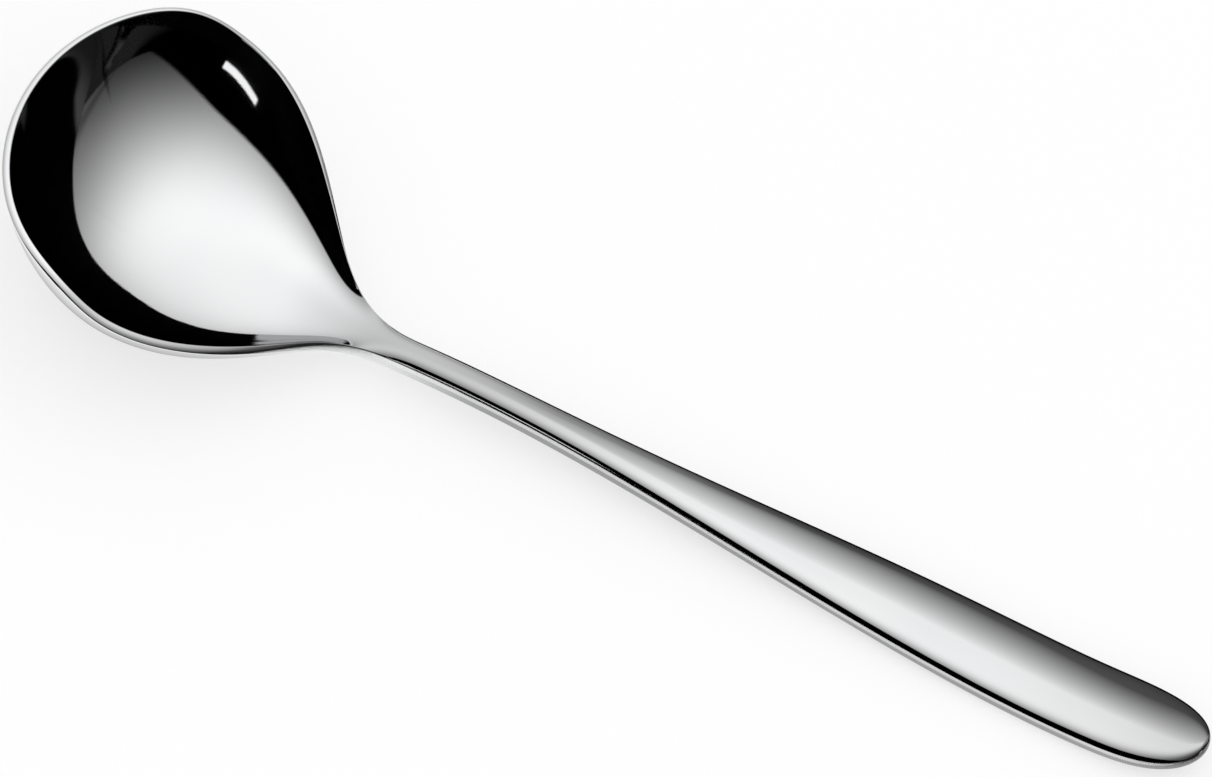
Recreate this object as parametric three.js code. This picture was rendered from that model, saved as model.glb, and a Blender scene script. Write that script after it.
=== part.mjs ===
// Soup spoon: a deep round bowl on a slim handle that widens towards a blunt, rounded end.
// Millimetres, +Z up. The spoon lies on the bottom of its bowl and on the underside of its handle, with the
// bowl's tip towards -X and the handle's end towards +X. A station is a distance from the bowl's tip along X.
import * as THREE from 'three';
import { ParametricGeometry } from 'three/addons/geometries/ParametricGeometry.js';
import { mergeVertices } from 'three/addons/utils/BufferGeometryUtils.js';

// Outline seen from above
const LENGTH = 180;
const BOWL_WIDTH = 52.5;
const BOWL_WIDEST = 22.1; // station of the bowl's full width
const SHOULDER = 45.9; // station where the outline turns from round to hollow
const SHOULDER_WIDTH = 21.7;
const SHOULDER_TAPER = -1.15; // half width lost per millimetre there
const NECK = 64; // station of the narrowest section
const NECK_WIDTH = 4.8;
const HANDLE_WIDTH = 13.3;
const END_ROUNDING = 16.2; // length of the rounded end
const END_BLUNTNESS = 3.1; // 2 is an ellipse, more is squarer

// Upper edge seen from the side: heights above the table, slopes and bends
const TIP_HEIGHT = 19.2;
const TIP_RISE = 0.025;
const RIM_HEIGHT = 17.9; // at the bowl's full width
const RIM_FALL = -0.365;
const RIM_BEND = 0.04;
const NECK_HEIGHT = 5.2;
const NECK_RISE = 0.055;
const NECK_BEND = -0.008;
const HANDLE_HEIGHT = 2.75; // where the handle comes down to the table
const HANDLE_FALL = -0.048;
const HANDLE_LANDING = 50; // from there to the end
const END_HEIGHT = 5;
const END_RISE = 0.315;
const END_BEND = 0.02;

// Bowl
const WALL = 1.2;
const RIM_SLOPE = THREE.MathUtils.degToRad(30); // the ground rim falls outwards
const DEEPEST = 23.7; // station of the bottom
const BOTTOM_BEND = 0.029;
const FRONT_STEEPNESS = -2.05; // slope of the inside under the tip
const FRONT_BEND = 0.195;
const FOOT_FLAT = 8; // the small flat that the bowl stands on
const RIM_EVEN = 8; // the rim keeps its section this far past the full width
const TIP_FULLNESS = -0.24; // 0 is a round section, more is flatter below and steeper at the wall
const BOWL_FULLNESS = 0.13;
const BOWL_FULLNESS_FROM = 13; // station where the sections reach that fullness
const SHOULDER_FULLNESS = 0.97;

// Handle
const NECK_THICKNESS = 2.1; // height of the side wall
const HANDLE_THICKNESS = 1.6;
const END_THICKNESS = 1.6;
const CROWN_RADIUS = 40; // across the top
const BELLY_RADIUS = 90; // across the underside
const EDGE_ROLL = 1; // how far the top rolls down to its edge
const ROLL_REACH = 0.65; // less is a tighter roll
const SIDE_BULGE = 0.15; // how far the side wall stands out between its edges

// Facets
const TOP_STEPS = 10;
const SIDE_STEPS = 4;
const UNDER_STEPS = 10;
const BOWL_RINGS = 36;
const HANDLE_RINGS = 36;
const STEP_SPREAD = THREE.MathUtils.degToRad(65); // steps crowd towards the edges as on an arc this wide
const MERGE_DISTANCE = 1e-4;

const HALF_STEPS = TOP_STEPS + SIDE_STEPS + UNDER_STEPS;
const HANDLE_WIDEST = LENGTH - END_ROUNDING;
const RIM_OUT = WALL * Math.cos(RIM_SLOPE);
const RIM_DROP = WALL * Math.sin(RIM_SLOPE);

// A fair line through knots of [station, value, slope, bend]. Each stretch is of the fifth degree and shares
// value, slope and bend with the next, so that a polished surface made from it shows no kink.
function fairLine(...knots) {
  return (station) => {
    const after = knots.findIndex((knot, i) => i > 0 && station <= knot[0]);
    const next = after < 0 ? knots.length - 1 : after;
    const [start, value0, slope0, bend0] = knots[next - 1];
    const [stop, value1, slope1, bend1] = knots[next];
    const span = stop - start;
    const t = THREE.MathUtils.clamp((station - start) / span, 0, 1);
    const rise = value1 - value0;
    const a = slope0 * span;
    const b = slope1 * span;
    const c = bend0 * span ** 2;
    const d = bend1 * span ** 2;
    const cubic = 10 * rise - 6 * a - 4 * b - 1.5 * c + 0.5 * d;
    const quartic = -15 * rise + 8 * a + 7 * b + 1.5 * c - d;
    const quintic = 6 * rise - 3 * (a + b) - 0.5 * (c - d);
    return value0 + t * (a + t * (c / 2 + t * (cubic + t * (quartic + t * quintic))));
  };
}

// The outline of one half, seen from above: a quarter ellipse round the tip, a fair line along the flank and
// a blunt quarter round the end.
const FRONT_SHARE = 0.2;
const END_SHARE = 0.08;
const FLANK_SHARE = 1 - FRONT_SHARE - END_SHARE;

const flank = fairLine(
  [BOWL_WIDEST, BOWL_WIDTH / 2, 0, -BOWL_WIDTH / 2 / BOWL_WIDEST ** 2],
  [SHOULDER, SHOULDER_WIDTH / 2, SHOULDER_TAPER, 0],
  [NECK, NECK_WIDTH / 2, 0, 0],
  [HANDLE_WIDEST, HANDLE_WIDTH / 2, 0, 0],
);

class HalfOutline extends THREE.Curve {
  getPoint(t, target = new THREE.Vector2()) {
    if (t < FRONT_SHARE) {
      const turn = (t / FRONT_SHARE) * (Math.PI / 2);
      return target.set(BOWL_WIDEST * (1 - Math.cos(turn)), (BOWL_WIDTH / 2) * Math.sin(turn));
    }
    if (t > 1 - END_SHARE) {
      const turn = ((t - 1 + END_SHARE) / END_SHARE) * (Math.PI / 2);
      const reach = Math.sin(turn) ** (2 / END_BLUNTNESS);
      return target.set(HANDLE_WIDEST + END_ROUNDING * reach, (HANDLE_WIDTH / 2) * Math.cos(turn));
    }
    const station = THREE.MathUtils.mapLinear(t, FRONT_SHARE, 1 - END_SHARE, BOWL_WIDEST, HANDLE_WIDEST);
    return target.set(station, flank(station));
  }
}

const outline = new HalfOutline();
const NECK_SHARE = FRONT_SHARE + (FLANK_SHARE * (NECK - BOWL_WIDEST)) / (HANDLE_WIDEST - BOWL_WIDEST);

// Lines along the spoon
const upperEdge = fairLine(
  [0, TIP_HEIGHT, TIP_RISE, 0],
  [BOWL_WIDEST, RIM_HEIGHT, RIM_FALL, RIM_BEND],
  [NECK, NECK_HEIGHT, NECK_RISE, NECK_BEND],
  [LENGTH - HANDLE_LANDING, HANDLE_HEIGHT, HANDLE_FALL, 0],
  [LENGTH, END_HEIGHT, END_RISE, END_BEND],
);
const sideHeight = fairLine(
  [BOWL_WIDEST + RIM_EVEN, RIM_DROP, 0, 0],
  [NECK, NECK_THICKNESS, 0, 0],
  [LENGTH - HANDLE_LANDING, HANDLE_THICKNESS, 0, 0],
  [LENGTH, END_THICKNESS, 0, 0],
);
const upperInset = fairLine([BOWL_WIDEST + RIM_EVEN, RIM_OUT, 0, 0], [NECK, SIDE_BULGE, 0, 0]);
const lowerInset = fairLine([BOWL_WIDEST + RIM_EVEN, 0, 0, 0], [NECK, SIDE_BULGE, 0, 0]);
const edgeRoll = fairLine([SHOULDER, 0, 0, 0], [NECK, EDGE_ROLL, 0, 0]);
const fullness = fairLine(
  [0, TIP_FULLNESS, 0, 0],
  [BOWL_FULLNESS_FROM, BOWL_FULLNESS, 0, 0],
  [SHOULDER, SHOULDER_FULLNESS, 0, 0],
  [NECK, 0, 0, 0],
);

// Middle lines: the inside of the bowl running out into the handle's crest, and the underside below it
const sag = (halfWidth, radius) => halfWidth ** 2 / (2 * radius);
const neckHalf = NECK_WIDTH / 2 - SIDE_BULGE;
const footRadius = (BOWL_WIDTH ** 2 / 4 + RIM_HEIGHT ** 2) / (2 * RIM_HEIGHT);
const insideLine = fairLine(
  [RIM_OUT, upperEdge(RIM_OUT), FRONT_STEEPNESS, FRONT_BEND],
  [DEEPEST, WALL, 0, BOTTOM_BEND],
  [NECK, NECK_HEIGHT + sag(neckHalf, CROWN_RADIUS), NECK_RISE, NECK_BEND],
);
const outsideLine = fairLine(
  [0, upperEdge(RIM_OUT) - RIM_DROP, FRONT_STEEPNESS, FRONT_BEND],
  [DEEPEST, -sag(FOOT_FLAT / 2, footRadius), 0, BOTTOM_BEND],
  [NECK, NECK_HEIGHT - NECK_THICKNESS - sag(neckHalf, BELLY_RADIUS), NECK_RISE, NECK_BEND],
);

// Depth of an arc of a circle below its chord at a share of the half chord, for an arc of the given rise, or of
// a fuller arc that is flatter in its middle
function arcDepth(rise, halfChord, share, full) {
  const turn = halfChord > 0 ? 2 * Math.atan(rise / halfChord) : 0;
  const sine = Math.sin(turn);
  const flat = (1 + Math.cos(turn)) / (1 + Math.sqrt(1 - (sine * share) ** 2));
  return rise * (1 - share ** 2 * (flat * (1 - full) + share ** 2 * full));
}

// Share of the half width at a share of the steps across it
const spread = (stepShare) => Math.sin(stepShare * STEP_SPREAD) / Math.sin(STEP_SPREAD);

// The point number step of a half section, counted from the crest over the edge to the keel
function sectionPoint(t, step) {
  const rim = outline.getPoint(t);
  const along = outline.getTangent(t);
  const outward = new THREE.Vector2(-along.y, along.x);
  const upper = rim.clone().addScaledVector(outward, -upperInset(rim.x));
  const lower = rim.clone().addScaledVector(outward, -lowerInset(rim.x));
  const upperZ = upperEdge(upper.x);
  const lowerZ = upperZ - sideHeight(rim.x);
  const pastNeck = rim.x > NECK;
  if (step <= TOP_STEPS) {
    const share = spread(step / TOP_STEPS);
    const rise = pastNeck ? -sag(upper.y, CROWN_RADIUS) : upperZ - insideLine(upper.x);
    const rollPower = Math.max(upper.y / ROLL_REACH, 2);
    const roll = edgeRoll(rim.x) * (1 - share ** rollPower) * Math.min(1, upper.y / neckHalf);
    const depth = arcDepth(rise, upper.y, share, fullness(upper.x));
    return new THREE.Vector3(upper.x, upper.y * share, upperZ - depth + roll);
  }
  if (step < TOP_STEPS + SIDE_STEPS) {
    const share = (step - TOP_STEPS) / SIDE_STEPS;
    const across = upperInset(rim.x) - lowerInset(rim.x);
    const down = sideHeight(rim.x);
    const bulge = (SIDE_BULGE * Math.sin(share * Math.PI)) / Math.hypot(across, down);
    const place = upper.lerp(lower, share).addScaledVector(outward, bulge * down);
    return new THREE.Vector3(place.x, place.y, upperZ - share * down + bulge * across);
  }
  const share = spread((HALF_STEPS - step) / UNDER_STEPS);
  const rise = pastNeck ? sag(lower.y, BELLY_RADIUS) : lowerZ - outsideLine(lower.x);
  const depth = arcDepth(rise, lower.y, share, fullness(lower.x));
  return new THREE.Vector3(lower.x, lower.y * share, Math.max(0, lowerZ - depth));
}

// Skin between two places on the outline. Its first and last rings lie on the middle plane: at the tip and at
// the end the skin closes there by itself, and a second ring at the neck closes it with a flat face.
function skin(from, to, rings, neckFirst) {
  const slices = 2 * HALF_STEPS;
  const stacks = rings + 1;
  const place = (u, v, target) => {
    const slice = Math.round(u * slices);
    const stack = Math.round(v * stacks);
    const ring = THREE.MathUtils.clamp(neckFirst ? stack - 1 : stack, 0, rings);
    const point = sectionPoint(THREE.MathUtils.lerp(from, to, ring / rings), Math.min(slice, slices - slice));
    const side = slice <= HALF_STEPS ? -1 : 1;
    const onMiddle = stack === 0 || stack === stacks;
    target.set(point.x - LENGTH / 2, onMiddle ? 0 : side * point.y, point.z);
  };
  return sealed(new ParametricGeometry(place, slices, stacks));
}

// The same skin with its shared corners merged and its collapsed triangles left out
function sealed(geometry) {
  geometry.deleteAttribute('normal');
  geometry.deleteAttribute('uv');
  const merged = mergeVertices(geometry, MERGE_DISTANCE);
  const corners = merged.index.array;
  const kept = [];
  for (let i = 0; i < corners.length; i += 3) {
    const [a, b, c] = corners.slice(i, i + 3);
    if (a !== b && b !== c && c !== a) {
      kept.push(a, b, c);
    }
  }
  merged.setIndex(kept);
  merged.computeVertexNormals();
  return merged;
}

function polishedSteel() {
  return new THREE.MeshStandardMaterial({ color: 0xd3d5d7, roughness: 0.08, metalness: 1 });
}

const bowl = new THREE.Mesh(skin(0, NECK_SHARE, BOWL_RINGS, false), polishedSteel());
bowl.name = 'bowl';

const handle = new THREE.Mesh(skin(NECK_SHARE, 1, HANDLE_RINGS, true), polishedSteel());
handle.name = 'handle';

const spoon = new THREE.Group();
spoon.add(bowl, handle);

export default spoon;
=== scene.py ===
import math

import bmesh
import bpy
import numpy as np
from mathutils import Matrix, Vector


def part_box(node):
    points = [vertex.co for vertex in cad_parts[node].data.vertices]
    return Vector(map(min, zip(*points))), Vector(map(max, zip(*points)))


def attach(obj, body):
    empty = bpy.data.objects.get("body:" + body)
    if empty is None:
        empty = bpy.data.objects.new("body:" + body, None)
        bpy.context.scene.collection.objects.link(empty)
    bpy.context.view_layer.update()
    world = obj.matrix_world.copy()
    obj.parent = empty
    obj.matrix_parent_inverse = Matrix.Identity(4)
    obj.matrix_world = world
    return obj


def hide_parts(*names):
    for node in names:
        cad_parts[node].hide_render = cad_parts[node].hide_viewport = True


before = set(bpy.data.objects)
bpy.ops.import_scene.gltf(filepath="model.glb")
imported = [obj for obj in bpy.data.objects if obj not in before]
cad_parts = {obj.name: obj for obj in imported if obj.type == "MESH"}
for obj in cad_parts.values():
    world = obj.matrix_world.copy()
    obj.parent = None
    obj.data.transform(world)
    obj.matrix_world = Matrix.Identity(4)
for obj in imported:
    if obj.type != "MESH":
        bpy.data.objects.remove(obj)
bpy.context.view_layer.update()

# Bowl
# The deep round bowl of the spoon, with the neck that carries it. It is the front of one stainless steel
# blank, rolled thin, pressed into a die, ground to a slanting rim and polished to a mirror.
bowl_low, bowl_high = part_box("bowl")
tip_x = bowl_low[0]
neck = bowl_high[0] - tip_x
bowl_width = bowl_high[1] - bowl_low[1]
bowl_widest = 0.0221
shoulder = 0.0459
shoulder_width = 0.0217
shoulder_taper = -1.15
neck_width = 0.0048

tip_height, tip_rise = 0.0192, 0.025
rim_height, rim_fall, rim_bend = 0.0179, -0.365, 40.0
neck_height, neck_rise, neck_bend = 0.0052, 0.055, -8.0
wall = 0.0012
rim_slope = math.radians(30)
rim_out = wall * math.cos(rim_slope)
rim_drop = wall * math.sin(rim_slope)
rim_even = bowl_widest + 0.008
deepest, bottom_bend = 0.0237, 29.0
front_steepness, front_bend = -2.05, 195.0
foot_flat = 0.008
tip_fullness, bowl_fullness, shoulder_fullness = -0.24, 0.13, 0.97
bowl_fullness_from = 0.013

neck_thickness = 0.0021
crown_radius = 0.04
belly_radius = 0.09
side_bulge = 0.00015
edge_roll, roll_reach = 0.001, 0.00065
arris_radius = 0.00012

fine_rows = 2000
bowl_front_rows, bowl_flank_rows = 110, 111
crest_start, crest_pace = 0.014, 0.75
skin_steps = (40, 8, 4)
ground_steps = 6
weld_gap, speck = 1e-7, 1e-9


def fair_line(*knots):
    """A line through knots of (station, value, slope, bend), without a kink or a jump in its bend."""
    stations, values, slopes, bends = (np.array(column) for column in zip(*knots))

    def line(station):
        i = np.clip(np.searchsorted(stations, station), 1, len(stations) - 1)
        span = stations[i] - stations[i - 1]
        t = np.clip((station - stations[i - 1]) / span, 0, 1)
        rise = values[i] - values[i - 1]
        a, b = slopes[i - 1] * span, slopes[i] * span
        c, d = bends[i - 1] * span**2, bends[i] * span**2
        cubic = 10 * rise - 6 * a - 4 * b - 1.5 * c + 0.5 * d
        quartic = -15 * rise + 8 * a + 7 * b + 1.5 * c - d
        quintic = 6 * rise - 3 * (a + b) - 0.5 * (c - d)
        return values[i - 1] + t * (a + t * (c / 2 + t * (cubic + t * (quartic + t * quintic))))

    return line


def level(*knots):
    """A fair line that runs level through each of its knots of (station, value)."""
    return fair_line(*((station, value, 0.0, 0.0) for station, value in knots))


def arc_depth(rise, half_chord, share, fullness=0.0):
    """Depth of a circle's arc below its chord at a share of the half chord, or of a fuller, squarer arc."""
    turn = 2 * np.arctan2(rise, half_chord)
    flat = (1 + np.cos(turn)) / (1 + np.sqrt(np.maximum(1 - (np.sin(turn) * share) ** 2, 0)))
    return rise * (1 - share**2 * (flat * (1 - fullness) + share**2 * fullness))


def rolled(depth, half, share):
    """Height of a face above its edge, where the face rolls over towards that edge."""
    return depth * (1 - share ** np.maximum(half / roll_reach, 2))


class Plan:
    """Half of a piece seen from above: its rim, and the upper and lower edges that lie inside the rim."""

    def __init__(self, rim, upper_inset, lower_inset):
        along = np.gradient(rim, axis=0)
        along[np.abs(rim[:, 1]) < speck, 0] = 0
        across = np.stack((-along[:, 1], along[:, 0]), axis=-1)
        self.out = across / np.linalg.norm(along, axis=1)[:, None]
        self.rim = rim
        self.upper = rim - self.out * upper_inset(rim[:, 0])[:, None]
        self.lower = rim - self.out * lower_inset(rim[:, 0])[:, None]


def half_skin(plan, foot, edge_height, side_height, top_height, under_height, steps):
    """Rows of points from the crest over the edge to the keel, with both corners of the edge rounded."""
    face_steps, side_steps, corner_steps = steps
    upper_z = edge_height(plan.upper[:, 0])
    drop = side_height(plan.rim[:, 0])
    upper_inset = np.linalg.norm(plan.upper - plan.rim, axis=1)
    lower_inset = np.linalg.norm(plan.lower - plan.rim, axis=1)
    across = upper_inset - lower_inset
    slant = np.hypot(across, drop)

    def on_face(edge, height, part):
        run = np.column_stack((foot, np.zeros_like(foot))) - edge
        reach = np.linalg.norm(run, axis=1)
        inset = arris_radius + (reach - arris_radius) * part
        place = edge + run * (inset / reach)[:, None]
        return np.column_stack((place, height(place[:, 0], place[:, 1])))

    def on_side(part):
        bulge = side_bulge * np.sin(part * math.pi) / slant
        place = plan.upper + (plan.lower - plan.upper) * part[:, None] + plan.out * (bulge * drop)[:, None]
        return np.column_stack((place, upper_z - part * drop + bulge * across))

    def corner(before, tip, after):
        for step in range(1, corner_steps):
            k = step / corner_steps
            yield before * (1 - k) ** 2 + tip * 2 * k * (1 - k) + after * k**2

    spread = [1 - math.sin(step / face_steps * math.pi / 2) for step in range(face_steps + 1)]
    top = [on_face(plan.upper, top_height, part) for part in spread]
    under = [on_face(plan.lower, under_height, part) for part in reversed(spread)]
    margin = arris_radius / slant
    side = [on_side(margin + (1 - 2 * margin) * step / side_steps) for step in range(side_steps + 1)]
    upper_corner = corner(top[-1], np.column_stack((plan.upper, upper_z)), side[0])
    lower_corner = corner(side[-1], np.column_stack((plan.lower, upper_z - drop)), under[0])
    return np.stack((*top, *upper_corner, *side, *lower_corner, *under), axis=1)


def polished_piece(name, node, rows):
    """A closed mesh from the rows of one half, mirrored to the other side and capped where it is cut."""
    row_count, step_count = rows.shape[0] - 1, rows.shape[1] - 1
    skin = bmesh.new()
    ground = skin.verts.layers.float.new("ground")
    bmesh.ops.create_grid(skin, x_segments=step_count, y_segments=row_count, size=1)
    for vert in skin.verts:
        step = round((vert.co.x + 1) / 2 * step_count)
        row = round((vert.co.y + 1) / 2 * row_count)
        vert.co = rows[row, step] + (tip_x, 0, 0)
        vert[ground] = abs(step - step_count / 2) < ground_steps
    bmesh.ops.remove_doubles(skin, verts=skin.verts, dist=weld_gap)
    half = [*skin.verts, *skin.edges, *skin.faces]
    bmesh.ops.mirror(skin, geom=half, axis="Y", merge_dist=weld_gap)
    bmesh.ops.remove_doubles(skin, verts=skin.verts, dist=weld_gap)
    for face in skin.faces:
        face.smooth = True
    cut = [edge for edge in skin.edges if edge.is_boundary]
    for edge in cut:
        edge.smooth = False
    bmesh.ops.edgeloop_fill(skin, edges=cut)
    bmesh.ops.recalc_face_normals(skin, faces=skin.faces)
    mesh = bpy.data.meshes.new(name)
    skin.to_mesh(mesh)
    skin.free()
    piece = bpy.data.objects.new(name, mesh)
    bpy.context.collection.objects.link(piece)
    mesh.materials.append(mirror_steel)
    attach(piece, "root")
    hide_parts(node)


class Wire:
    """An output of a shader node, with arithmetic that adds Math nodes."""

    def __init__(self, tree, socket=None):
        self.tree = tree
        self.socket = socket

    def node(self, kind, settings=(), inputs=(), output=0):
        made = self.tree.nodes.new(kind)
        for name, value in dict(settings).items():
            setattr(made, name, value)
        for key, value in dict(inputs).items():
            if isinstance(value, Wire):
                self.tree.links.new(value.socket, made.inputs[key])
            else:
                made.inputs[key].default_value = value
        return Wire(self.tree, made.outputs[output] if made.outputs else None)

    def maths(self, operation, *terms):
        return self.node("ShaderNodeMath", {"operation": operation}, dict(enumerate(terms)))

    def dot(self, vector):
        settings = {"operation": "DOT_PRODUCT"}
        return self.node("ShaderNodeVectorMath", settings, {0: self, 1: vector}, "Value")

    def ramp(self, low, high):
        settings = {"interpolation_type": "SMOOTHSTEP"}
        inputs = {"Value": self, "From Min": low, "From Max": high}
        return self.node("ShaderNodeMapRange", settings, inputs)

    def __add__(self, other):
        return self.maths("ADD", self, other)

    def __sub__(self, other):
        return self.maths("SUBTRACT", self, other)

    def __rsub__(self, other):
        return self.maths("SUBTRACT", other, self)

    def __mul__(self, other):
        return self.maths("MULTIPLY", self, other)

    __radd__ = __add__
    __rmul__ = __mul__


clear_steel, hazy_steel = (0.91, 0.913, 0.917, 1), (0.88, 0.886, 0.894, 1)
polish_roughness, haze_roughness, ground_roughness = 0.025, 0.03, 0.07
haze_grain = {"Scale": 60, "Detail": 2, "Roughness": 0.4}
haze_low, haze_high = 0.3, 0.7
stroke_grain = (150, 6000, 6000)
stroke_relief = {"Strength": 0.05, "Distance": 0.00002}
mix_first, mix_second, mix_result = 6, 7, 2

mirror_steel = bpy.data.materials.new("mirror_steel")
mirror_steel.use_nodes = True
steel = Wire(mirror_steel.node_tree)
place = steel.node("ShaderNodeTexCoord", output="Object")
haze = place.node("ShaderNodeTexNoise", {}, {"Vector": place, **haze_grain}).ramp(haze_low, haze_high)
along_spoon = place.node("ShaderNodeMapping", {}, {"Vector": place, "Scale": stroke_grain})
strokes = place.node("ShaderNodeTexNoise", {}, {"Vector": along_spoon, "Scale": 1, "Detail": 2})
ground = place.node("ShaderNodeAttribute", {"attribute_name": "ground"}, output="Fac")
tints = {"Factor": haze, mix_first: clear_steel, mix_second: hazy_steel}
colour = place.node("ShaderNodeMix", {"data_type": "RGBA"}, tints, mix_result)
relief = place.node("ShaderNodeBump", {}, {"Height": strokes, **stroke_relief})
roughness = polish_roughness + haze_roughness * haze + ground_roughness * ground
shader = mirror_steel.node_tree.nodes["Principled BSDF"]
shader.inputs["Metallic"].default_value = 1
for name, wire in (("Base Color", colour), ("Roughness", roughness), ("Normal", relief)):
    mirror_steel.node_tree.links.new(wire.socket, shader.inputs[name])

flank = fair_line(
    (bowl_widest, bowl_width / 2, 0, -bowl_width / 2 / bowl_widest**2),
    (shoulder, shoulder_width / 2, shoulder_taper, 0),
    (neck, neck_width / 2, 0, 0),
)
bowl_edge = fair_line(
    (0, tip_height, tip_rise, 0),
    (bowl_widest, rim_height, rim_fall, rim_bend),
    (neck, neck_height, neck_rise, neck_bend),
)
bowl_side = level((rim_even, rim_drop), (neck, neck_thickness))
rim_top = float(bowl_edge(rim_out))
neck_half = neck_width / 2 - side_bulge
foot_radius = (bowl_width**2 / 4 + rim_height**2) / (2 * rim_height)
inside_line = fair_line(
    (rim_out, rim_top, front_steepness, front_bend),
    (deepest, wall, 0, bottom_bend),
    (neck, neck_height + neck_half**2 / (2 * crown_radius), neck_rise, neck_bend),
)
outside_line = fair_line(
    (0, rim_top - rim_drop, front_steepness, front_bend),
    (deepest, -(foot_flat**2) / (8 * foot_radius), 0, bottom_bend),
    (neck, neck_height - neck_thickness - neck_half**2 / (2 * belly_radius), neck_rise, neck_bend),
)
bowl_roll = level((shoulder, 0.0), (neck, edge_roll))
fullness = level(
    (0.0, tip_fullness),
    (bowl_fullness_from, bowl_fullness),
    (shoulder, shoulder_fullness),
    (neck, 0.0),
)
bowl_upper_inset = level((rim_even, rim_out), (neck, side_bulge))
bowl_lower_inset = level((rim_even, 0.0), (neck, side_bulge))


def bowl_plan(front_count, flank_count):
    turn = np.linspace(0, math.pi / 2, front_count, endpoint=False)
    front = np.column_stack((bowl_widest * (1 - np.cos(turn)), bowl_width / 2 * np.sin(turn)))
    station = np.linspace(bowl_widest, neck, flank_count)
    rim = np.concatenate((front, np.column_stack((station, flank(station)))))
    return Plan(rim, bowl_upper_inset, bowl_lower_inset)


fine_bowl = bowl_plan(fine_rows, fine_rows)


def bowl_top(x, y):
    half = np.maximum(np.interp(x, *fine_bowl.upper.T), speck)
    share = np.minimum(y / half, 1)
    depth = arc_depth(bowl_edge(x) - inside_line(x), half, share, fullness(x))
    return bowl_edge(x) - depth + rolled(bowl_roll(x), half, share)


def bowl_under(x, y):
    half = np.maximum(np.interp(x, *fine_bowl.lower.T), speck)
    share = np.minimum(y / half, 1)
    lower_z = bowl_edge(fine_bowl.upper[:, 0]) - bowl_side(fine_bowl.rim[:, 0])
    edge = np.interp(x, fine_bowl.lower[:, 0], lower_z)
    return np.maximum(0, edge - arc_depth(edge - outside_line(x), half, share, fullness(x)))


bowl_rows = bowl_plan(bowl_front_rows, bowl_flank_rows)
bowl_crest = fair_line((0, crest_start, crest_pace, 0), (neck, neck, 1, 0))
bowl_foot = bowl_crest(bowl_rows.rim[:, 0])
bowl_skin = half_skin(bowl_rows, bowl_foot, bowl_edge, bowl_side, bowl_top, bowl_under, skin_steps)
polished_piece("spoon_bowl", "bowl", bowl_skin)

# Handle
# The back of the same blank, left thicker, crowned along its top and rolled over at its edges. It widens
# from the neck to a blunt rounded end, and it goes on from the bowl without a seam.
handle_low, handle_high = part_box("handle")
length = handle_high[0] - tip_x
handle_width = handle_high[1] - handle_low[1]
end_rounding, end_bluntness = 0.0162, 3.1
handle_widest = length - end_rounding
handle_landing = length - 0.05
handle_height, handle_fall = 0.00275, -0.048
end_height, end_rise, end_bend = 0.005, 0.315, 20.0
handle_thickness, end_thickness = 0.0016, 0.0016
handle_stem_rows, handle_end_rows = 150, 51
crest_end, crest_end_pace = length - 0.006, 0.6

stem = level((neck, neck_width / 2), (handle_widest, handle_width / 2))
handle_edge = fair_line(
    (neck, neck_height, neck_rise, neck_bend),
    (handle_landing, handle_height, handle_fall, 0),
    (length, end_height, end_rise, end_bend),
)
handle_side = level((neck, neck_thickness), (handle_landing, handle_thickness), (length, end_thickness))


def handle_plan(stem_count, end_count):
    station = np.linspace(neck, handle_widest, stem_count, endpoint=False)
    reach = np.sin(np.linspace(0, math.pi / 2, end_count))
    half = handle_width / 2 * np.sqrt(1 - reach**end_bluntness)
    end = np.column_stack((handle_widest + end_rounding * reach, half))
    rim = np.concatenate((np.column_stack((station, stem(station))), end))
    inset = level((neck, side_bulge), (length, side_bulge))
    return Plan(rim, inset, inset)


fine_handle = handle_plan(fine_rows, fine_rows)


def handle_top(x, y):
    half = np.maximum(np.interp(x, *fine_handle.upper.T), speck)
    share = np.minimum(y / half, 1)
    crown = (half**2 - y**2) / (2 * crown_radius)
    return handle_edge(x) + crown + rolled(edge_roll * np.minimum(1, half / neck_half), half, share)


def handle_under(x, y):
    half = np.maximum(np.interp(x, *fine_handle.lower.T), speck)
    lower_z = handle_edge(fine_handle.upper[:, 0]) - handle_side(fine_handle.rim[:, 0])
    edge = np.interp(x, fine_handle.lower[:, 0], lower_z)
    return np.maximum(0, edge - np.maximum(half**2 - y**2, 0) / (2 * belly_radius))


handle_rows = handle_plan(handle_stem_rows, handle_end_rows)
handle_crest = fair_line(
    (neck, neck, 1, 0),
    (handle_landing, handle_landing, 1, 0),
    (length, crest_end, crest_end_pace, 0),
)
handle_foot = handle_crest(handle_rows.rim[:, 0])
handle_skin = half_skin(
    handle_rows, handle_foot, handle_edge, handle_side, handle_top, handle_under, skin_steps)
polished_piece("spoon_handle", "handle", handle_skin)

# Table
# A sheet of white card that the spoon lies on, in a plain white room that lights it evenly from all round.
# The card shines a little by itself, so that it looks almost as white as the room and keeps a faint shadow.
table_reach = 2
table_white, table_shine = (0.99, 0.99, 0.99, 1), 0.6
room_white = (1, 1, 1, 1)
table_mesh = bpy.data.meshes.new("table")
sheet = bmesh.new()
bmesh.ops.create_grid(sheet, x_segments=1, y_segments=1, size=table_reach)
sheet.to_mesh(table_mesh)
sheet.free()
table = bpy.data.objects.new("table", table_mesh)
bpy.context.collection.objects.link(table)
white_card = bpy.data.materials.new("white_card")
white_card.use_nodes = True
white_card.node_tree.nodes.clear()
card = Wire(white_card.node_tree)
rays = ("Is Camera Ray", "Is Glossy Ray", "Is Transmission Ray")
seen = sum(card.node("ShaderNodeLightPath", output=ray) for ray in rays)
paper = card.node("ShaderNodeBsdfDiffuse", {}, {"Color": table_white})
own_light = card.node("ShaderNodeEmission", {}, {"Color": room_white})
mixed = card.node("ShaderNodeMixShader", {}, {0: table_shine * seen, 1: paper, 2: own_light})
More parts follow.
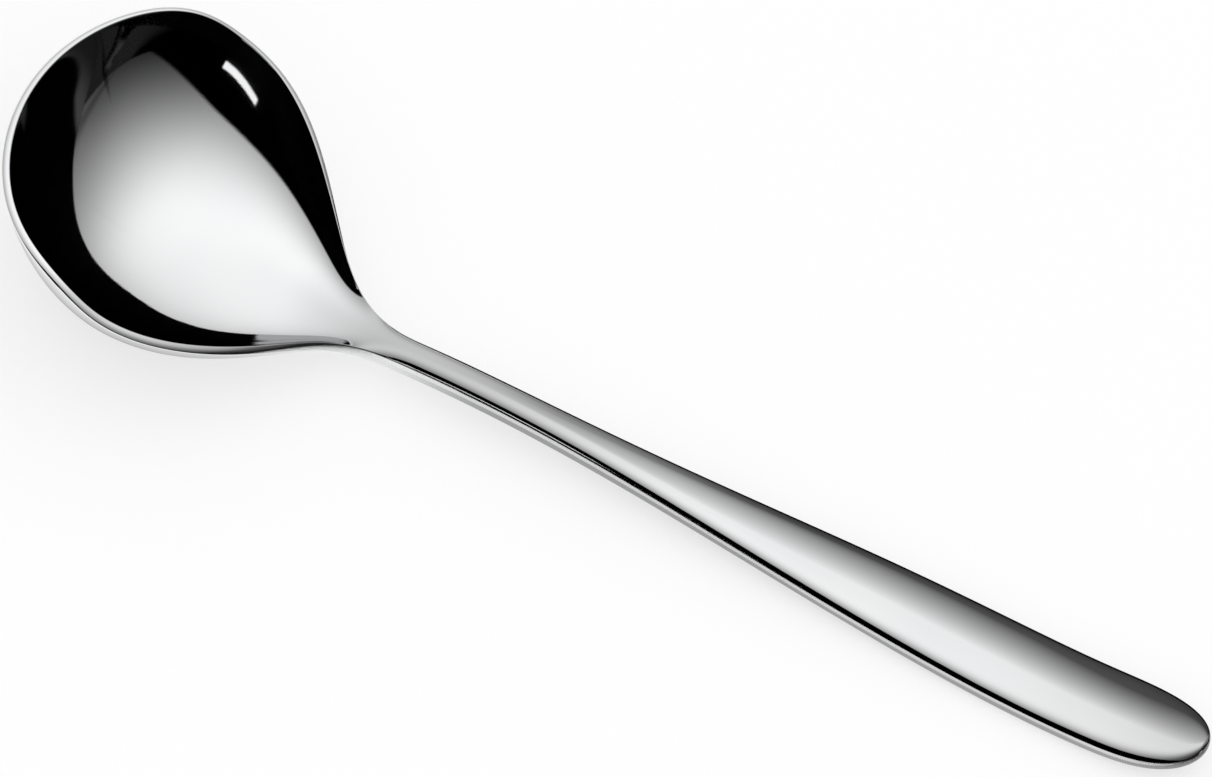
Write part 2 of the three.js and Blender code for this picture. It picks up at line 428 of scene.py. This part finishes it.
card.node("ShaderNodeOutputMaterial", {}, {"Surface": mixed})
table_mesh.materials.append(white_card)
room = bpy.data.worlds.new("white_room")
bpy.context.scene.world = room
room.use_nodes = True
room.node_tree.nodes["Background"].inputs["Color"].default_value = room_white
room.node_tree.nodes["Background"].inputs["Strength"].default_value = 1

# Tent
# A light tent over the spoon, which only the steel sees: brightest overhead, fading towards the sides, and
# black at its mouth, on the side of the camera. Light that has met the steel before finds the tent dark,
# which paints shade into the second reflection, apart from a painted patch of light on the left, a faint
# painted glow in front and a painted glint on the right.
tent_radius, tent_segments, tent_rings = 1.5, 96, 48
lengthwise, crosswise, upward = Vector((1, 0, 0)), Vector((0, 1, 0)), Vector((0, 0, 1))
tent_glow, tent_level = Vector((-0.184, 0.17, 0.563)), 0.405
mouth_top, mouth_soft = 0.58, 0.05
mouth_arch, mouth_middle = 0.607, -0.172
mouth_inner, mouth_outer = -0.3, -0.45
# The patch, front and glint numbers give painted light in the second reflection.
patch_axis = Vector((-1, 0.35, 0))
patch_low, patch_high, patch_shine = 0.675, 0.7, 0.42
front_shine, front_least = 0.05, 0.012
front_low, front_high = 0.35, 0.6
front_left, front_right, front_near, front_soft = 0.12, 0.325, -0.76, 0.02
glint_low, glint_high, glint_shine = 0.9, 0.95, 0.035


def reflected_only(obj):
    """Leaves an object to be seen in the steel, but not by the camera or by the card."""
    for kind in ("camera", "diffuse", "transmission", "volume_scatter", "shadow"):
        setattr(obj, f"visible_{kind}", False)


def met_before(wire):
    """1 for light that has met the steel more than once, and 0 for other light."""
    meetings = wire.node("ShaderNodeLightPath", output="Glossy Depth")
    return meetings.maths("GREATER_THAN", meetings, 1)


def shining(name, tone, tone_again=None):
    """A material as bright as a tone for a place on it, with a tone of its own for light met before."""
    made = bpy.data.materials.new(name)
    made.use_nodes = True
    made.node_tree.nodes.clear()
    start = Wire(made.node_tree)
    place = start.node("ShaderNodeTexCoord", output="Object")
    later = met_before(start)
    # Light that has met the steel before loses this tone, as painted shade in the second reflection;
    # tone_again paints a tone of its own there.
    bright = tone(place) * (1 - later)
    if tone_again:
        bright = bright + tone_again(place) * later
    shine = start.node("ShaderNodeEmission", {}, {"Color": bright})
    start.node("ShaderNodeOutputMaterial", {}, {"Surface": shine})
    return made


def stage_piece(name, shape, material):
    mesh = bpy.data.meshes.new(name)
    shape.to_mesh(mesh)
    shape.free()
    mesh.materials.append(material)
    piece = bpy.data.objects.new(name, mesh)
    bpy.context.collection.objects.link(piece)
    reflected_only(piece)
    return piece


def ways(place):
    """The way towards a place on the tent, and its parts along, across and up."""
    toward = place.node("ShaderNodeVectorMath", {"operation": "NORMALIZE"}, {0: place})
    return toward, toward.dot(lengthwise), toward.dot(crosswise), toward.dot(upward)


def tent_tone(place):
    toward, along, across, up = ways(place)
    glow = toward.dot(tent_glow) + tent_level
    aside = along - mouth_middle
    above = up + mouth_arch * aside * aside
    below_top = 1 - above.ramp(mouth_top, mouth_top + mouth_soft)
    mouth = below_top * (1 - across.ramp(mouth_outer, mouth_inner))
    return glow * glow * (1 - mouth)


# Painted light in the second reflection: a patch on the left, a glow in front and a glint on the right.
def painted_second_reflection(place):
    toward, along, across, up = ways(place)
    patch = patch_shine * toward.dot(patch_axis).ramp(patch_low, patch_high)
    front = along.ramp(front_left - front_soft, front_left + front_soft)
    front = front * (1 - along.ramp(front_right - front_soft, front_right + front_soft))
    front = front * (1 - across.ramp(front_near - front_soft, front_near + front_soft))
    front = front * (front_least + front_shine * up.ramp(front_low, front_high))
    return patch + front + glint_shine * along.ramp(glint_low, glint_high)


dome = bmesh.new()
bmesh.ops.create_uvsphere(dome, u_segments=tent_segments, v_segments=tent_rings, radius=tent_radius)
bmesh.ops.reverse_faces(dome, faces=dome.faces)
tent = stage_piece("tent", dome, shining("tent_cloth", tent_tone, painted_second_reflection))

# Black cloths
# Two sheets of black cloth on the table, one on each side of the handle, which only the steel sees. They keep
# the white of the table out of the bowl.
cloth_shine, cloth_slant = 0.012, Vector((0.35, 1, 0))
cloth_black, cloth_lit = -0.05, -0.02
cloth_low = 0.0005
cloth_front, cloth_nose, cloth_end = -0.04, 0.02, 1.6
handle_flank = ((-0.02, 0.0025), (0.02, 0.004), (0.06, 0.0065), (0.095, 0.0065))
handle_tail = 0.1


def cloth_tone(place):
    return cloth_shine * place.dot(cloth_slant).ramp(cloth_black, cloth_lit)


def cloth(name, side, beside, near_reach, far_reach):
    inner = [(x, y + beside) for x, y in handle_flank]
    outer = ((handle_tail, 0), (cloth_end, 0), (cloth_end, far_reach), (cloth_front, near_reach))
    corners = ((cloth_front, cloth_nose), *inner, *outer)
    sheet = bmesh.new()
    sheet.faces.new([sheet.verts.new((x, side * y, cloth_low)) for x, y in corners])
    return stage_piece(name, sheet, shining(name, cloth_tone))


near_cloth = cloth("near_cloth", side=-1, beside=0.0085, near_reach=1.6, far_reach=1.6)
far_cloth = cloth("far_cloth", side=1, beside=0.0025, near_reach=0.12, far_reach=0.8)

# Grey card
# A strip of grey card under the handle, darkest under it and lighter away from it, as a painted shadow, with
# a row of low black fins across it, which only the steel sees. The handle's side sees this painted shadow
# between the fins, and the bowl, which looks along the handle, sees only the fins.
card_start, card_end, card_near, card_far = -0.04, 0.1, -0.02, 0.012
card_low = 0.0001
card_flare, card_inner, card_outer = 0.02, -0.0062, -0.0082
card_pale_to, card_grey_from = -0.037, -0.015
card_painted_shadow, card_light, card_pale = 0.38, 0.74, 0.95
fin_low, fin_high, fin_gap = 0.00015, 0.0003, 0.0004


def flat_sheet(size, middle, turn=Matrix.Identity(3)):
    """A sheet of a given size, turned from lying flat and set with its middle at a place."""
    sheet = bmesh.new()
    bmesh.ops.create_grid(sheet, x_segments=1, y_segments=1, size=0.5)
    bmesh.ops.scale(sheet, vec=(*size, 1), verts=sheet.verts)
    bmesh.ops.rotate(sheet, matrix=turn, verts=sheet.verts)
    bmesh.ops.translate(sheet, vec=middle, verts=sheet.verts)
    return sheet


# Painted shadow of the handle: darker under and beside the handle, paler past the bowl.
def handle_shadow_tone(place):
    beside = place.dot((card_flare, 1, 0))
    under_handle = card_light + (card_painted_shadow - card_light) * beside.ramp(card_outer, card_inner)
    past_bowl = place.dot(lengthwise).ramp(card_pale_to, card_grey_from)
    return card_pale + (under_handle - card_pale) * past_bowl


card_size = (card_end - card_start, card_far - card_near)
card_middle = ((card_start + card_end) / 2, (card_near + card_far) / 2, card_low)
grey_card = stage_piece("grey_card", flat_sheet(card_size, card_middle), shining("grey_card", handle_shadow_tone))
fin_row = bmesh.new()
for fin_x in np.arange(card_start, card_end, fin_gap):
    corners = ((card_near, fin_low), (card_far, fin_low), (card_far, fin_high), (card_near, fin_high))
    fin_row.faces.new([fin_row.verts.new((fin_x, y, z)) for y, z in corners])
fins = stage_piece("fins", fin_row, shining("black_fins", cloth_tone))

# Bowl card
# A round card under the bowl, dark in the middle and pale at its edge, which only the steel sees. It paints
# the bowl's shadow on the table into the outside of the bowl, as painted shade from the foot up to the rim.
bowl_card_middle = Vector((-0.066, 0, card_low))
bowl_card_core, bowl_card_radius, bowl_card_sides = 0.006, 0.03, 64
bowl_card_shadow, bowl_card_pale = 0.06, 0.9


# Painted shadow of the bowl: dark under its foot, fading to pale at the card's edge.
def bowl_shadow_tone(place):
    ends = {0: place, 1: bowl_card_middle}
    away = place.node("ShaderNodeVectorMath", {"operation": "DISTANCE"}, ends, "Value")
    fade = away.ramp(bowl_card_core, bowl_card_radius)
    return bowl_card_shadow + (bowl_card_pale - bowl_card_shadow) * fade


disc = bmesh.new()
bmesh.ops.create_circle(disc, cap_ends=True, segments=bowl_card_sides, radius=bowl_card_radius)
bmesh.ops.translate(disc, vec=bowl_card_middle, verts=disc.verts)
bowl_card = stage_piece("bowl_card", disc, shining("bowl_card", bowl_shadow_tone))

# Veils
# Four dark sheets of painted shade, which only the steel sees. One hangs behind the handle, thins out upwards
# and paints shade on the handle's far side. Two lie over the neck and over the handle's end and paint shade
# on them, to dim them. A small one over the bowl paints shade on light that has met the steel before.
hanging_size, hanging_middle = (0.135, 0.026), (0.0275, 0.009, 0.013)
hanging_start, hanging_full = -0.03, -0.005
thin_until, thick_from = -0.035, 0.03
thin_clear, thick_clear = 0.7, 0.1
hem_low, hem_high = 0.0069, 0.0208
hem_lift, lift_ends, lift_returns = 0.004, (-0.01, 0.055), (0.06, 0.09)
veil_height = 0.013
neck_veil_size, neck_veil_x, neck_dimming = (0.08, 0.06), -0.014, 0.4
neck_dim_in, neck_dim_out = (-0.052, -0.036), (-0.028, 0.022)
end_veil_size, end_veil_x, end_dimming = (0.06, 0.06), 0.08, 0.34
end_dim_in = (0.055, 0.095)
bowl_veil_size, bowl_veil_middle = (0.018, 0.028), (-0.058, -0.003, 0.021)
painted_shade_black = (0, 0, 0, 1)


def painted_shade_sheet(name, part_clear, sheet):
    """A black sheet of painted shade that lets through a part of the light, worked out from a place on it."""
    made = bpy.data.materials.new(name)
    made.use_nodes = True
    made.node_tree.nodes.clear()
    start = Wire(made.node_tree)
    place = start.node("ShaderNodeTexCoord", output="Object")
    clear = start.node("ShaderNodeBsdfTransparent")
    black = start.node("ShaderNodeEmission", {}, {"Color": painted_shade_black})
    mixed = start.node("ShaderNodeMixShader", {}, {0: part_clear(place), 1: black, 2: clear})
    start.node("ShaderNodeOutputMaterial", {}, {"Surface": mixed})
    return stage_piece(name, sheet, made)


# Painted shade on the handle's far side, thinning out upwards.
def behind_handle(place):
    along = place.dot(lengthwise)
    least = thin_clear - (thin_clear - thick_clear) * along.ramp(thin_until, thick_from)
    height = place.dot(upward) - hem_lift * (1 - along.ramp(*lift_ends) + along.ramp(*lift_returns))
    hem = {"Value": height, "From Min": hem_low, "From Max": hem_high, "To Min": thick_clear}
    rising = place.node("ShaderNodeMapRange", {}, hem)
    clear = least.maths("MAXIMUM", least, rising)
    return 1 - along.ramp(hanging_start, hanging_full) * (1 - clear)


# Painted shade over the neck.
def over_neck(place):
    along = place.dot(lengthwise)
    return 1 - neck_dimming * along.ramp(*neck_dim_in) * (1 - along.ramp(*neck_dim_out))


# Painted shade over the handle's end.
def over_end(place):
    return 1 - end_dimming * place.dot(lengthwise).ramp(*end_dim_in)


# Painted shade on light that has met the steel before.
def over_bowl(place):
    return 1 - met_before(place)


hanging_turn = Matrix.Rotation(math.pi / 2, 3, "X")
handle_painted_shade = painted_shade_sheet("handle_painted_shade", behind_handle, flat_sheet(hanging_size, hanging_middle, hanging_turn))
neck_painted_shade = painted_shade_sheet("neck_painted_shade", over_neck, flat_sheet(neck_veil_size, (neck_veil_x, 0, veil_height)))
end_painted_shade = painted_shade_sheet("end_painted_shade", over_end, flat_sheet(end_veil_size, (end_veil_x, 0, veil_height)))
bowl_painted_shade = painted_shade_sheet("bowl_painted_shade", over_bowl, flat_sheet(bowl_veil_size, bowl_veil_middle))

# Strip light
# A narrow lamp that stands low on the side of the camera, which only the steel sees. It draws the one bright
# stroke on the far wall of the bowl.
strip_size, strip_shine = (0.118, 0.016), 1
strip_tilt = math.radians(13.4)
strip_place = Vector((-0.068, -0.21, 0.054))
strip_turn = Matrix.Rotation(strip_tilt, 3, "Y") @ Matrix.Rotation(math.pi / 2, 3, "X")
strip = flat_sheet(strip_size, strip_place, strip_turn)
strip_light = stage_piece("strip_light", strip, shining("strip_light", lambda place: strip_shine))

# Camera
# A very long lens, almost square to the spoon and a little over half way up to straight above it. The camera
# is rolled, so that the spoon lies slanting across the picture and fills it.
view_azimuth = math.radians(2.8)
view_elevation = math.radians(54.98)
view_roll = math.radians(23.8)
view_target = Vector((-0.00318, 0.00561, 0.00968))
view_width = 0.16168
view_lens = 600
camera_data = bpy.data.cameras.new("camera")
camera_data.lens = view_lens
camera = bpy.data.objects.new("camera", camera_data)
bpy.context.collection.objects.link(camera)
turn = (Matrix.Rotation(view_azimuth, 4, "Z") @ Matrix.Rotation(math.pi / 2 - view_elevation, 4, "X")
        @ Matrix.Rotation(view_roll, 4, "Z"))
distance = view_width * camera_data.lens / camera_data.sensor_width
camera.matrix_world = Matrix.Translation(view_target) @ turn @ Matrix.Translation((0, 0, distance))
bpy.context.scene.camera = camera
bpy.context.scene.view_settings.view_transform = "Standard"
